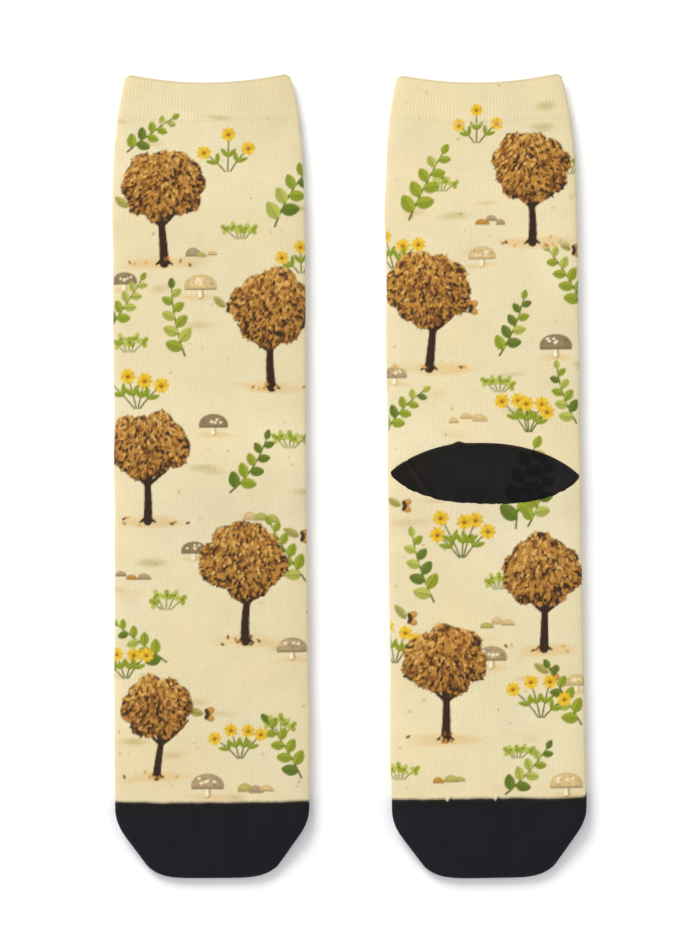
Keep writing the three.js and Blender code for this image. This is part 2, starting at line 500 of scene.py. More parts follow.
SPECKS = 120
WASH_DABS = 9


def wash(cloth, chance, x, y, wide, tall, colour, strength):
    """A soft pale patch of watercolour with an uneven edge."""
    for _ in range(WASH_DABS):
        dx, dy = chance.uniform(-0.55, 0.55) * wide, chance.uniform(-0.4, 0.4) * tall
        size = chance.uniform(0.35, 0.6)
        cover = oval(wide * size, tall * size, chance.uniform(-0.15, 0.15))
        cloth.lay(x + dx, y + dy, wide, colour, cover, edge=1.4, strength=strength)


def leaf(cloth, x, y, turn, length, width, tone):
    """One leaf: a pale half, a darker half and a midrib."""
    reach = length + 1
    cloth.lay(x, y, reach, tone, blade(length, width, turn, 0.6))
    side = 1 if math.cos(turn) < 0 else -1
    cloth.lay(x, y, reach, shade(tone, 0.74), blade(length, width, turn, 0.6, side), strength=0.7)
    rib = stroke(math.cos(turn) * length * 0.85, math.sin(turn) * length * 0.85, 0.45, 0.2)
    cloth.lay(x, y, reach, shade(LEAF_DEEP, 0.5), rib, strength=0.6)


def crown_lobes(chance, wide, tall):
    """Round lobes of a tree's crown: one in the middle and a ring of smaller ones."""
    lobes = [(0, 0, min(wide, tall) * 0.82)]
    for i in range(CROWN_LOBES):
        turn = 2 * math.pi * i / CROWN_LOBES + chance.uniform(-0.16, 0.16)
        far = chance.uniform(0.58, 0.74)
        lobe = chance.uniform(0.34, 0.44) * min(wide, tall)
        lobes.append((math.cos(turn) * far * wide, math.sin(turn) * far * tall, lobe))
    return lobes


def tree(cloth, chance, x, y, size, wide, tall):
    """A broad-crowned tree in autumn leaf. x, y is the foot of its trunk."""
    size = size * TREE_GROWTH
    wide, tall = wide * size, tall * size
    trunk = TRUNK_HEIGHT * size
    crown_y = y + trunk + tall * 0.72
    wash(cloth, chance, x, y - 0.3, 19 * size, 3.4 * size, SAND, 0.5)
    lean = math.pi / 2 + chance.uniform(-0.12, 0.12)
    stem = curved(x, y, lean, trunk * 1.2, chance.uniform(-0.3, 0.3))
    line(cloth, stem, TRUNK_WIDTH * size, 0.55, BARK)
    for side in (-1, 1):
        root = [(x, y + 1.8 * size), (x + side * 3.6 * size, y - 0.5 * size)]
        line(cloth, root, ROOT_WIDTH * size, 0.3, BARK)
    fork_x, fork_y = stem[4]
    for turn in BRANCH_TURNS:
        twig = curved(fork_x, fork_y, lean + turn, trunk * 0.8, -turn * 0.4, 4)
        line(cloth, twig, BRANCH_WIDTH * size, 0.4, BARK)
    lobes = crown_lobes(chance, wide, tall)
    for dx, dy, lobe in lobes:
        cloth.lay(x + dx, crown_y + dy, lobe + 2, UMBER, oval(lobe, lobe), edge=0.8)
    leaves = []
    for dx, dy, lobe in lobes:
        for _ in range(int(lobe * lobe * CROWN_LEAF_DENSITY)):
            turn, far = chance.uniform(0, 2 * math.pi), math.sqrt(chance.random())
            px, py = math.cos(turn) * far, math.sin(turn) * far
            leaves.append((dx + px * lobe, dy + py * lobe, py - 0.5 * px))
    chance.shuffle(leaves)
    for px, py, lit in leaves:
        light = 0.5 + 0.25 * lit + 0.2 * py / tall
        pick = chance.random() * 0.8 + light * 0.4
        colour = next(tone for limit, tone in CROWN_TONES if pick < limit)
        turn = -math.pi / 2 + 1.1 * px / wide + chance.uniform(-0.6, 0.6)
        length = chance.uniform(1.6, 3.2)
        start_x = x + px - math.cos(turn) * length / 2
        start_y = crown_y + py - math.sin(turn) * length / 2
        dab = blade(length, CROWN_LEAF_WIDTH, turn, 0.7)
        cloth.lay(start_x, start_y, length + 1, colour, dab)
    for _ in range(FALLEN_LEAVES):
        px, py = x + chance.uniform(-0.9, 0.9) * wide, y + chance.uniform(-2.2, 1.6) * size
        turn = chance.uniform(0, math.pi)
        cloth.lay(px, py, 4, chance.choice((OCHRE, RUSSET, HONEY)), blade(2.6, 1.4, turn))


def leafy_twig(cloth, chance, x, y, lean, size):
    """A bent twig with broad round leaves, one side and then the other."""
    bend = chance.uniform(-0.6, 0.6)
    stem = curved(x, y, lean, TWIG_LENGTH * size, bend, TWIG_LEAVES)
    line(cloth, stem, 0.95, 0.6, shade(LEAF_DEEP, 0.45))
    for i in range(1, TWIG_LEAVES + 1):
        px, py = stem[i]
        grow = size * (1.0 - 0.42 * i / TWIG_LEAVES)
        side = 1 if i % 2 else -1
        spread = 0.95 if i < TWIG_LEAVES else 0
        turn = lean + bend * i / TWIG_LEAVES + side * spread
        tone = chance.choice((LEAF, LEAF, LEAF_PALE, LEAF_DEEP))
        leaf(cloth, px, py, turn, TWIG_LEAF[0] * grow, TWIG_LEAF[1] * grow, tone)


def daisies(cloth, chance, x, y, size, count):
    """A clump of yellow daisies on thin stems."""
    for i in range(count):
        spread = (i - (count - 1) / 2) / max(count - 1, 1)
        lean = math.pi / 2 - spread * 1.25 + chance.uniform(-0.12, 0.12)
        length = chance.uniform(*DAISY_STEMS) * size
        stem = curved(x + spread * 3 * size, y, lean, length, -spread * 0.6, 5)
        line(cloth, stem, 0.75, 0.8, shade(LEAF_DEEP, 0.5))
        leaf_x, leaf_y = stem[2]
        for side in (-1, 1):
            turn = lean + side * 0.7
            leaf(cloth, leaf_x, leaf_y, turn, DAISY_LEAF[0] * size, DAISY_LEAF[1] * size, LEAF)
        head_x, head_y = stem[-1]
        start = chance.uniform(0, 1)
        for k in range(DAISY_PETALS):
            turn = start + 2 * math.pi * k / DAISY_PETALS
            tone = YELLOW if k % 2 else shade(YELLOW, 0.84)
            petal = blade(DAISY_PETAL[0] * size, DAISY_PETAL[1] * size, turn, 0.5)
            cloth.lay(head_x, head_y, 5 * size, tone, petal)
        cloth.lay(head_x, head_y, 3 * size, AMBER, oval(1.5 * size, 1.4 * size))
        dot = oval(0.8 * size, 0.6 * size)
        cloth.lay(head_x, head_y - 0.4 * size, 3 * size, RUSSET, dot)


def toadstool(cloth, chance, x, y, size, cap):
    """A squat toadstool: a pale stalk under a spotted cap with a shaded rim."""
    wash(cloth, chance, x, y + 0.8, 10 * size, 2.2 * size, SAND, 0.45)
    stalk = stroke(0, 4.6 * size, 3.8 * size, 2.6 * size)
    cloth.lay(x, y + 2 * size, 8 * size, shade(TAN, 0.8), stalk)
    cloth.lay(x - 0.5 * size, y + 2 * size, 8 * size, PALE, stroke(0, 4.4 * size, 2.2, 1.4))
    top = y + 7 * size
    whole = oval(CAP_HALF[0] * size, CAP_HALF[1] * size)
    lit = oval(CAP_GLOW[0] * size, CAP_GLOW[1] * size)

    def dome(px, py):
        return np.minimum(whole(px, py), py + 1.4 * size)

    def glow(px, py):
        return np.minimum(lit(px + 1.2 * size, py - 1.2 * size), py + 0.6)

    cloth.lay(x, top - 0.7 * size, 10 * size, shade(cap, 0.4), dome)
    cloth.lay(x, top, 10 * size, cap, dome)
    cloth.lay(x, top, 10 * size, shade(cap, 1.4), glow, edge=1.6, strength=0.6)
    for _ in range(CAP_SPECKLES):
        px, py = chance.uniform(-6.5, 6.5) * size, chance.uniform(-0.6, 4.4) * size
        if dome(np.array(px), np.array(py)) > 0.6:
            tone = shade(cap, chance.choice((0.62, 0.8, 1.3)))
            cloth.lay(x + px, top + py, 2, tone, oval(0.6, 0.4), strength=0.7)
    for _ in range(CAP_SPOTS):
        px, py = x + chance.uniform(-4.8, 4.8) * size, top + chance.uniform(0.4, 3.8) * size
        cloth.lay(px, py, 2 * size, PALE, oval(0.85 * size, 0.65 * size))


def clover(cloth, chance, x, y, size):
    """A low patch of three-leaved clover."""
    for i in range(CLOVER_STEMS):
        lean = math.pi / 2 + (2 - i) * 0.4 + chance.uniform(-0.1, 0.1)
        stem = curved(x + (i - 2) * 1.3 * size, y, lean, chance.uniform(5, 9) * size, 0, 3)
        line(cloth, stem, 0.6, 0.8, LEAF_DEEP)
        px, py = stem[-1]
        for k in range(3):
            turn = lean + 2 * math.pi * k / 3
            tone = LEAF_PALE if (i + k) % 2 else LEAF
            cx, cy = px + math.cos(turn) * 1.6 * size, py + math.sin(turn) * 1.6 * size
            cloth.lay(cx, cy, 3 * size, tone, oval(1.7 * size, 1.4 * size, turn))
        cloth.lay(px, py, 2, shade(LEAF_DEEP, 0.7), oval(0.5, 0.5))


def acorns(cloth, chance, x, y, size):
    """Two acorns and a small leaf."""
    leaf(cloth, x, y, chance.uniform(2.2, 2.9), 10 * size, 4.8 * size, OLIVE)
    for lean in (-0.5, 0.45):
        px, py = x + math.cos(lean) * 4.4 * size, y + math.sin(lean) * 4.4 * size
        cloth.lay(px, py, 5 * size, OCHRE, oval(2.9 * size, 2.1 * size, lean))
        cloth.lay(px, py + 0.4, 5 * size, HONEY, oval(1.9 * size, 0.9 * size, lean), strength=0.6)
        cup_x, cup_y = px - math.cos(lean) * 1.8 * size, py - math.sin(lean) * 1.8 * size
        cloth.lay(cup_x, cup_y, 4 * size, UMBER, oval(1.3 * size, 2.3 * size, lean))


def pebbles(cloth, chance, x, y, size):
    """Three low stones side by side, lighter on top and dark along the ground."""
    for i in range(STONES):
        px, py = x + (i - 1) * STONE_GAP * size, y + chance.uniform(-1.2, 1.2)
        wide = chance.uniform(5.5, 10.0) * size
        tall = wide * chance.uniform(0.7, 1.1)
        tone = chance.choice((TAN, OLIVE, TAUPE, OCHRE))
        foot = blade(wide, tall, 0, 0.5, 1)
        cloth.lay(px, py - 0.4, wide + 1, shade(tone, 0.5), foot)
        cloth.lay(px, py, wide + 1, tone, foot)
        lit = oval(wide * 0.26, tall * 0.12)
        cloth.lay(px + wide * 0.42, py + tall * 0.3, wide, shade(tone, 1.3), lit, 0.8, 0.7)


def grounds(cloth, chance):
    """Broad faint clouds of colour under the motifs, thin marks of earth, and a few specks."""
    for _ in range(CLOUDS):
        x, y = chance.uniform(-GIRTH / 2, GIRTH / 2), chance.uniform(-175, 200)
        tone, strength = chance.choice(((SAND, 0.09), (ROSE, 0.06), (PALE, 0.16), (OLIVE, 0.02)))
        cloud = oval(chance.uniform(16, 34), chance.uniform(10, 24), chance.uniform(-0.3, 0.3))
        cloth.lay(x, y, 36, tone, cloud, edge=9.0, strength=strength)
    for _ in range(EARTH_MARKS):
        x, y = chance.uniform(-GIRTH / 2, GIRTH / 2), chance.uniform(-165, 190)
        tone = chance.choice((SAND, TAN, OLIVE))
        wide, tall = chance.uniform(5, 11), chance.uniform(1.6, 3.2)
        wash(cloth, chance, x, y, wide, tall, tone, strength=0.12)
    for _ in range(SPECKS):
        x, y = chance.uniform(-GIRTH / 2, GIRTH / 2), chance.uniform(-170, 200)
        size = chance.uniform(0.3, 0.7)
        tone = chance.choice((TAN, TAUPE, OLIVE))
        speck = oval(size * 1.5, size, chance.uniform(0, 3))
        cloth.lay(x, y, 3, tone, speck, strength=0.6)


# Places of the motifs on each sock: millimetres right of the middle line, and up from mid-length
TREES = {
    "left": [(-22, 106, 1.0, 20, 16), (31, 44, 0.98, 19, 17), (-31, -22, 0.96, 20, 15),
             (17, -82, 1.0, 19, 16), (-27, -149, 0.86, 18, 16), (92, 96, 0.9, 19, 15),
             (-84, 30, 0.9, 18, 17), (84, -50, 0.9, 19, 16), (88, -140, 0.8, 18, 16)],
    "right": [(25, 116, 0.94, 18, 17), (-27, 54, 1.0, 20, 16), (28, -86, 0.96, 19, 16),
              (-21, -130, 1.0, 20, 15), (88, 60, 0.9, 18, 16), (-86, 110, 0.85, 19, 15),
              (86, -30, 0.9, 18, 17), (-88, -50, 0.9, 19, 16), (92, -120, 0.85, 19, 15)],
}
TWIGS = {
    "left": [(33, 124, 1.2, 1.05), (-41, 162, 0.75, 0.8), (-12, 60, 1.9, 0.95),
             (10, -8, 0.7, 0.9), (47, -52, 2.2, 0.9), (-22, -92, 2.5, 0.85),
             (44, -150, 2.0, 0.9), (-50, 74, 0.9, 0.8), (70, 20, 1.4, 0.9),
             (-100, -30, 1.5, 0.9), (70, -110, 1.3, 0.9), (-68, -120, 1.4, 0.9)],
    "right": [(15, -26, 1.5, 1.15), (21, -25, 1.05, 0.9), (-36, 128, 1.15, 1.05),
              (50, 84, 2.0, 0.9), (8, 60, 1.0, 0.85), (-50, 22, 1.0, 0.8),
              (-26, -62, 2.0, 0.95), (46, -124, 2.1, 0.9), (8, -158, 0.7, 0.85),
              (46, 26, 2.1, 0.8), (66, 110, 1.5, 0.9), (-70, -10, 1.4, 0.9),
              (64, -70, 1.5, 0.9), (-66, -140, 1.5, 0.9)],
}
DAISIES = {
    "left": [(10, 152, 0.95, 3), (46, 101, 0.85, 3), (-36, 34, 1.0, 4), (20, -52, 0.95, 4),
             (-42, -100, 0.9, 4), (14, -140, 0.85, 4), (70, 62, 0.9, 4), (-74, -60, 0.9, 4),
             (100, -100, 0.9, 4)],
    "right": [(-2, 168, 0.85, 3), (-44, 104, 0.9, 4), (22, 22, 0.95, 5), (-12, -40, 1.0, 5),
              (-46, -92, 0.9, 4), (26, -120, 0.9, 4), (70, 20, 0.9, 4), (-74, 60, 0.9, 4),
              (98, -80, 0.9, 4)],
}
TOADSTOOLS = {
    "left": [(-4, 88, 0.95), (-42, 92, 0.75), (2, 20, 0.85), (-8, -42, 0.75), (40, -92, 0.9),
             (-2, -160, 0.95), (-66, 90, 0.8), (66, -150, 0.8)],
    "right": [(0, 104, 0.8), (36, 58, 0.95), (-44, 46, 0.7), (44, -108, 0.7), (2, -96, 0.9),
              (38, -160, 0.95), (-66, 90, 0.8), (66, -160, 0.8)],
}
CLOVERS = {
    "left": [(-40, 62, 0.9), (16, 118, 0.85), (40, 14, 0.9), (-22, -66, 0.9), (34, -128, 0.85)],
    "right": [(-20, 142, 0.8), (44, 150, 0.85), (8, 42, 0.85), (6, -56, 0.8), (-44, -150, 0.85),
              (14, -140, 0.8)],
}
PEBBLES = {
    "left": [(18, -157, 0.85), (22, -22, 0.9), (-6, 110, 0.85), (-42, -50, 0.9), (84, 10, 0.9)],
    "right": [(-22, -152, 0.85), (2, 126, 0.8), (-12, 28, 0.9), (2, -74, 0.85), (84, -90, 0.9)],
}
ACORNS = {
    "left": [(-40, 134, 0.85), (8, 84, 0.8), (-42, 8, 0.85), (44, -30, 0.85), (-4, -118, 0.85)],
    "right": [(-8, 84, 0.85), (44, 112, 0.8), (-42, -14, 0.8), (-40, -70, 0.85), (30, -98, 0.85)],
}


def seam_stitches(cloth, chance):
    """Faint stitches here and there where the ribbed cuff meets the plain knitting."""
    level = SOCK_LENGTH / 2 - CUFF_DEPTH
    for i in range(int(GIRTH / WALE)):
        x = i * WALE - GIRTH / 2
        tone = chance.choice((PALE, PALE, ROSE, GROUND))
        tick = stroke(0, chance.uniform(0.8, 1.6), 0.75, 0.6)
        strength = 0.28 + 0.22 * soft_noise(x, 0, (15, 9), CUFF_LINE_SEED)
        cloth.lay(x, level - 1.2 + chance.uniform(-0.3, 0.3), 3, tone, tick, strength=strength)


def cuff_tone(cloth):
    """The cuff takes more dye than the leg, and ends in a grey line of painted shade along the mouth.
    """
    leg_share = smoothstep(cloth.along, CUFF_DEPTH / 2, CUFF_DEPTH * 2)[:, None, None]
    cloth.ink *= mix(np.array(CUFF_DYE), 1, leg_share)
    # Painted shade: a grey line along the rim where the mouth turns in
    share = 0.5 * (1 - smoothstep(cloth.along, 0.4, 1.3))[:, None, None]
    cloth.ink += (np.array(RIM_SHADE_GREY) - cloth.ink) * share


def fold_fade_and_shade(side, cloth):
    """The print is lighter on the very edge of the side folds, where it thins and partly as a painted
    highlight, and darker with painted shade on the pair's right fold.
    """
    x = TOP_ARC - cloth.around
    for edge, factor, width in FOLD_TONES[side]:
        # Painted highlight and painted shade on the folds, as factors on the ink
        at_fold = bell(x - edge * (FACE / 2 - 1.2), width)
        cloth.ink *= (1 + (factor - 1) * at_fold)[None, :, None]


def yarn_ends(side, cloth, chance):
    """Black yarn showing through just above the toe cap, and its loose ends."""
    edge = TOE_LINE - toe_wave(side, cloth.around, np.full(len(cloth.around), TOE_LINE))
    depth = smoothstep(cloth.along[:, None], edge[None, :] - 1.5, edge[None, :] + 0.3)
    cloth.ink += (np.array(YARN_ENDS) - cloth.ink) * (0.8 * depth)[..., None]
    level = SOCK_LENGTH / 2 - TOE_LINE
    for i in range(int(GIRTH / WALE * 2)):
        x = i * WALE / 2 - GIRTH / 2
        start = level - 1.2 + toe_wave(side, np.array(TOP_ARC - x), np.array(TOE_LINE))
        reach = 1.2 + chance.uniform(0.2, 1.0)
        end = stroke(chance.uniform(-0.2, 0.2), reach, 0.6, 0.35)
        cloth.lay(x, start, 3, YARN_ENDS, end, strength=0.45)


def print_cloth(side, cloth):
    """Prints the whole pattern of one sock on a stretch of its knitting."""
    chance = random.Random(PRINT_SEEDS[side])
    grounds(cloth, chance)
    for x, y, size in ACORNS[side]:
        acorns(cloth, chance, x, y, size)
    for x, y, size in CLOVERS[side]:
        clover(cloth, chance, x, y, size)
    for x, y, size in PEBBLES[side]:
        pebbles(cloth, chance, x, y, size)
    for x, y, size in TOADSTOOLS[side]:
        toadstool(cloth, chance, x, y, size, chance.choice((TAUPE, STONE, TAN)))
    for x, y, lean, size in TWIGS[side]:
        leafy_twig(cloth, chance, x, y, lean, size)
    for x, y, size, count in DAISIES[side]:
        daisies(cloth, chance, x, y, size, count)
    for x, y, size, wide, tall in TREES[side]:
        tree(cloth, chance, x, y, size, wide, tall)
    fold_fade_and_shade(side, cloth)
    seam_stitches(cloth, chance)
    cuff_tone(cloth)
    cloth.ink *= SOCK_TONE[side]
    yarn_ends(side, cloth, chance)


# Knitted pieces
def blank(name, points, knit, inks):
    """A flat knitted blank, given its shape: rows of points, knit coordinates and inks."""
    rows, columns = points.shape[:2]
    bpy.ops.object.select_all(action="DESELECT")
    bpy.ops.mesh.primitive_grid_add(
        x_subdivisions=columns - 1, y_subdivisions=rows - 1, size=1, calc_uvs=True
    )
    piece = bpy.context.object
    piece.name = name
    mesh = piece.data
    mesh.name = name
    flat = np.empty(len(mesh.vertices) * 3)
    mesh.vertices.foreach_get("co", flat)
    flat = flat.reshape(-1, 3)
    column = np.rint((flat[:, 0] + 0.5) * (columns - 1)).astype(int)
    row = np.rint((flat[:, 1] + 0.5) * (rows - 1)).astype(int)
    mesh.vertices.foreach_set("co", (points[row, column] * MM).ravel())
    corner = np.empty(len(mesh.loops), int)
    mesh.loops.foreach_get("vertex_index", corner)
    places = knit[row[corner], column[corner]]
    mesh.uv_layers[0].name = "Knit"
    mesh.uv_layers["Knit"].data.foreach_set("uv", (places * MM).ravel())
    spread = (places - places.min(axis=0)) / np.ptp(places, axis=0).max()
    mesh.uv_layers.new(name="OFBake").data.foreach_set("uv", spread.ravel())
    tint = mesh.color_attributes.new(name="Print", type="FLOAT_COLOR", domain="POINT")
    inked = np.concatenate([inks[row, column], np.ones((len(row), 1))], axis=1)
    tint.data.foreach_set("color", inked.ravel())
    bpy.ops.object.mode_set(mode="EDIT")
    bpy.ops.mesh.select_all(action="SELECT")
    bpy.ops.mesh.remove_doubles(threshold=1e-7)
    bpy.ops.mesh.fill_holes(sides=0)
    bpy.ops.mesh.select_all(action="SELECT")
    bpy.ops.mesh.normals_make_consistent(inside=False)
    bpy.ops.object.mode_set(mode="OBJECT")
    bpy.ops.object.shade_smooth()
    return piece


def columns_round(fine, coarse):
    """Places of the columns: close together on the upper face and its folds, wider below."""
    upper = np.arange(-FOLD_REACH, FACE + FOLD_REACH, fine)
    below = GIRTH - FACE - 2 * FOLD_REACH
    lower = np.linspace(FACE + FOLD_REACH, GIRTH - FOLD_REACH, int(below / coarse) + 1)
    return np.concatenate([upper, lower[1:-1]])


def rim_inset(along):
    """How far the rounded rim of the mouth turns in."""
    rest = 1 - np.clip(along / RIM_RADIUS, 0, 1)
    return RIM_RADIUS * (1 - np.sqrt(1 - rest**2))


def cuff_ribs(around, along):
    """Rise and fall of the cuff's ribs, fading out at the rim and the cuff line."""
    fade = smoothstep(along, 0, 2.5) * (1 - smoothstep(along, CUFF_DEPTH - 1.5, CUFF_DEPTH))
    groove = 0.2 * bell(along - CUFF_DEPTH, 0.8)
    ribs = CUFF_RIB_DEPTH * np.cos(2 * math.pi * around / RIB_PITCH) * (0.3 + 0.7 * fade)
    return ribs * smoothstep(along, 0, RIM_RADIUS) - groove


def wrap(places):
    """Repeats the first column at the end, so that the tube closes."""
    return np.concatenate([places, places[:, :1]], axis=1)


def knit_places(around, rows):
    """Knit coordinates: right of the middle line, and up from mid-length."""
    around = np.concatenate([around, [around[0] + GIRTH]])
    grid = np.empty((len(rows), len(around), 2))
    grid[..., 0] = (TOP_ARC - around)[None, :]
    grid[..., 1] = (SOCK_LENGTH / 2 - rows)[:, None]
    return grid


def sock_tube(side, name, along, fine, coarse, wall, rib=None):
    """A printed tube with a wall: rows down its outside, round the end and back up inside."""
    around = columns_round(fine, coarse)
    wrapped = np.mod(around, GIRTH)
    start, end = along[0], along[-1]
    painted_groove_shade = np.linspace(end, start + 2 * RIM_RADIUS, LINING_ROWS)
    inner_along = np.concatenate([painted_groove_shade, start + RIM_RADIUS * np.array([1, 0.6, 0.3, 0.1, 0])])
    at_rim = 1.0 if rib else 0.0
    outer = lie(side, tube(wrapped, along, at_rim * rim_inset(along)))
    if rib:
        outer = outer + outward(outer) * rib(around[None, :], along[:, None])[..., None]
        outer[..., 2] = np.maximum(outer[..., 2], 0)
    inner = lie(side, tube(wrapped, inner_along, wall - at_rim * rim_inset(inner_along)))
    cloth = Cloth(around, along)
    print_cloth(side, cloth)
    lining = np.empty((len(inner_along), len(around), 3))
    lining[:] = LINING
    points = wrap(np.concatenate([outer, inner, outer[:1]]))
    inks = wrap(np.concatenate([cloth.ink, lining, cloth.ink[:1]]))
    # The lining's knit coordinates lie beyond the end, clear of the outer face's
    inside = end + 5 + np.linspace(0, 8, len(inner_along))
    knit = knit_places(around, np.concatenate([along, inside, [end + 14]]))
    piece = blank(f"{side}_{name}", set_down(side, points, CENTRE), knit, inks)
    return piece


def toe_wave(side, around, along):
    """The uneven edge where the black yarn takes over, as a shift towards the cuff."""
    seed = TOE_EDGE_SEEDS[side]
    x = TOP_ARC - around
    wave = TOE_EDGE_SHIFT[side] + 0.4 * soft_noise(x, 0 * x, (17, 9), seed)
    wave = wave + 0.22 * soft_noise(x, 0 * x, (4.5, 9), seed + 1)
    wave = wave + 0.16 * np.abs((x / WALE) % 1 - 0.5)
    if side == "right":
        wave = wave + TOE_EDGE_RISE * bell(x - FACE / 2, 2.0)
        for notch in TOE_NOTCHES:
            wave = wave - 1.1 * bell(x - notch, 0.7) + 0.5 * bell(x - notch - 1.6, 0.7)
    return wave * (1 - smoothstep(along, TOE_LINE, TOE_LINE + TOE_EDGE_FADES_OVER))


def toe_inks(side, around, rows):
    """Black yarn, blacker along its ragged upper edge and faintly streaked below."""
    x, along = (TOP_ARC - around)[None, :], np.asarray(rows)[:, None]
    seed = TOE_STREAK_SEEDS[side]
    edge = (1 - smoothstep(along, TOE_LINE + 1.5, TOE_LINE + 6.5))[..., None]
    streak = 1 + 0.1 * soft_noise(x, along, (1.6, 26), seed)
    streak = streak + 0.1 * soft_noise(x, along, (12, 9), seed)
    black = mix(np.array(JET) * streak[..., None], np.array(JET_EDGE), edge)
    lip = (1 - smoothstep(along, TOE_LINE + 0.1, TOE_LINE + 1.1))[..., None]
    return mix(black, np.array(YARN_ENDS), 0.3 * lip)


def sock_toe(side):
    """Toe cap: outer face to a rounded tip, and an inner face that closes on itself."""
    around = columns_round(TOE_STEP, UNDERSIDE_STEP)
    wrapped = np.mod(around, GIRTH)
    outer_along = np.linspace(TOE_LINE, TOE_END - TOE_TIP_RADIUS, TOE_ROWS)
    turn = np.linspace(0, math.pi / 2, TOE_TIP_ROWS + 1)[1:]
    tip_along = TOE_END - TOE_TIP_RADIUS + TOE_TIP_RADIUS * np.sin(turn)
    inner_end = TOE_END - TOE_SEAM
    inner_along = np.linspace(inner_end, TOE_LINE, TOE_INNER_ROWS)
    rows = np.concatenate([outer_along, tip_along])
    thin_outer = np.maximum(np.concatenate([np.ones(TOE_ROWS), np.cos(turn)]), SLIT)
    thin_inner = np.sqrt(np.clip((inner_end - inner_along) / TOE_SEAM_ROUNDS_OVER, SLIT**2, 1))
    outer = lie(side, tube(wrapped, rows, 0, thin_outer))
    outer = outer + outward(outer) * (TOE_PROUD * thin_outer)[:, None, None]
    outer[..., 2] = np.maximum(outer[..., 2], 0)
    inner = lie(side, tube(wrapped, inner_along, WALL, thin_inner))
    outer[..., 1] += toe_wave(side, around[None, :], rows[:, None])
    inner[..., 1] += toe_wave(side, around[None, :], inner_along[:, None])
    points = wrap(np.concatenate([inner, outer]))
    inks = wrap(toe_inks(side, around, np.concatenate([inner_along, rows])))
    inside = TOE_LINE - 1.5 - (inner_along - TOE_LINE) * 0.3
    knit = knit_places(around, np.concatenate([inside, rows]))
    piece = blank(f"{side}_toe_cap", set_down(side, points, CENTRE), knit, inks)
    return piece


def heel_line(u):
    """The slightly sloping line between the pocket's tips, where u is -1 and 1."""
    return SOCK_LENGTH / 2 - HEEL_CENTRE - HEEL_TIP_SKEW * u


def heel_curve(u, curve):
    """How far an edge of the pocket bows from that line: 0 at the tips and 1 in the middle."""
    return np.maximum(1 - np.abs(u) ** curve[0], 0) ** curve[1]


def heel_low(u):
    return heel_line(u) - HEEL_FALL * heel_curve(u, HEEL_LOW_CURVE)


def heel_high(u):
    return heel_line(u) + HEEL_RISE * heel_curve(u, HEEL_HIGH_CURVE)


def face_height(x, along, upper):
    """Height of the upper or the lower face of the tube above the floor."""
    share = np.clip(np.abs(x) / half_width(along), 0, 1)
    half = thickness(along) / 2
    if upper:
        return half + half * (1 - share**CROWN_POWER) ** (1 / CROWN_POWER)
    rise = UNDERSIDE_FLATTENING * (1 - share**UNDERSIDE_POWER) ** (1 / UNDERSIDE_POWER)
    return half - half * np.minimum(rise, 1)


def heel_crease(x, y):
    """How far right of the pocket's pressed crease a place is."""
    across, up = CREASE_FACING
    return (x - CREASE_PLACE[0]) * across + (y - CREASE_PLACE[1]) * up


def heel_inks(side, x, y, high):
    """Black yarn: the print carries on across it, darker, and frays along the fold; a painted sheen
    towards the right tip, and a painted highlight and painted shade along the pressed crease.
    """
    upper = side == "right"
    middle = TOP_ARC if upper else BELOW_ARC
    place = x if upper else TOP_ARC - BELOW_ARC - x
    around = np.arange(middle - HEEL_PRINT_REACH, middle + HEEL_PRINT_REACH, HEEL_PRINT_STEP)
    cloth = Cloth(around, np.arange(*HEEL_PRINT_ROWS, HEEL_PRINT_STEP))
    print_cloth(side, cloth)
    printed = cloth.at(place, y)
    dark = np.clip(1.15 - printed.mean(axis=-1) / (np.mean(GROUND) * SOCK_TONE[side]), 0, 1)
    wear = soft_noise(x, y, (14, 7), HEEL_SEEDS["wear"])
    streaks = soft_noise(x, y, (2.2, 12), HEEL_SEEDS["streaks"])
    tone = np.array(HEEL_BLACK) * (1 + 0.22 * (wear + 0.5 * streaks))[..., None]
    patches = smoothstep(soft_noise(x, y, (6, 5), HEEL_SEEDS["brown"]), -0.3, 0.6)
    brown = bell(x - HEEL_BROWN_PLACE, 9) * patches
    tone = mix(tone, np.array(HEEL_BROWN), 0.6 * brown[..., None])
    # Painted sheen: lighter towards the pocket's right tip
    tone = tone * (1 + 0.5 * smoothstep(x, 22, 38))[..., None]
    crease = heel_crease(x, y)[..., None]
    # Painted highlight on the crease, painted shade just right of it and over its left side
    tone = tone * (1 + 0.5 * bell(crease + 0.6, 0.8) - 0.3 * bell(crease - 1.6, 1.8))
    tone = tone * (1 - 0.25 * (1 - smoothstep(crease, -2.0, -0.5)))
    tone = mix(tone, np.array(HEEL_GHOST), smoothstep(dark, 0.2, 0.55)[..., None] * 0.9)
    loose = smoothstep(soft_noise(x, 0 * x, (5, 9), HEEL_SEEDS["fray"]), -0.5, 0.5)
    frayed = bell(high - y, 0.5) * loose
    return mix(tone, np.array(HEEL_FRINGE), 0.6 * frayed[..., None])


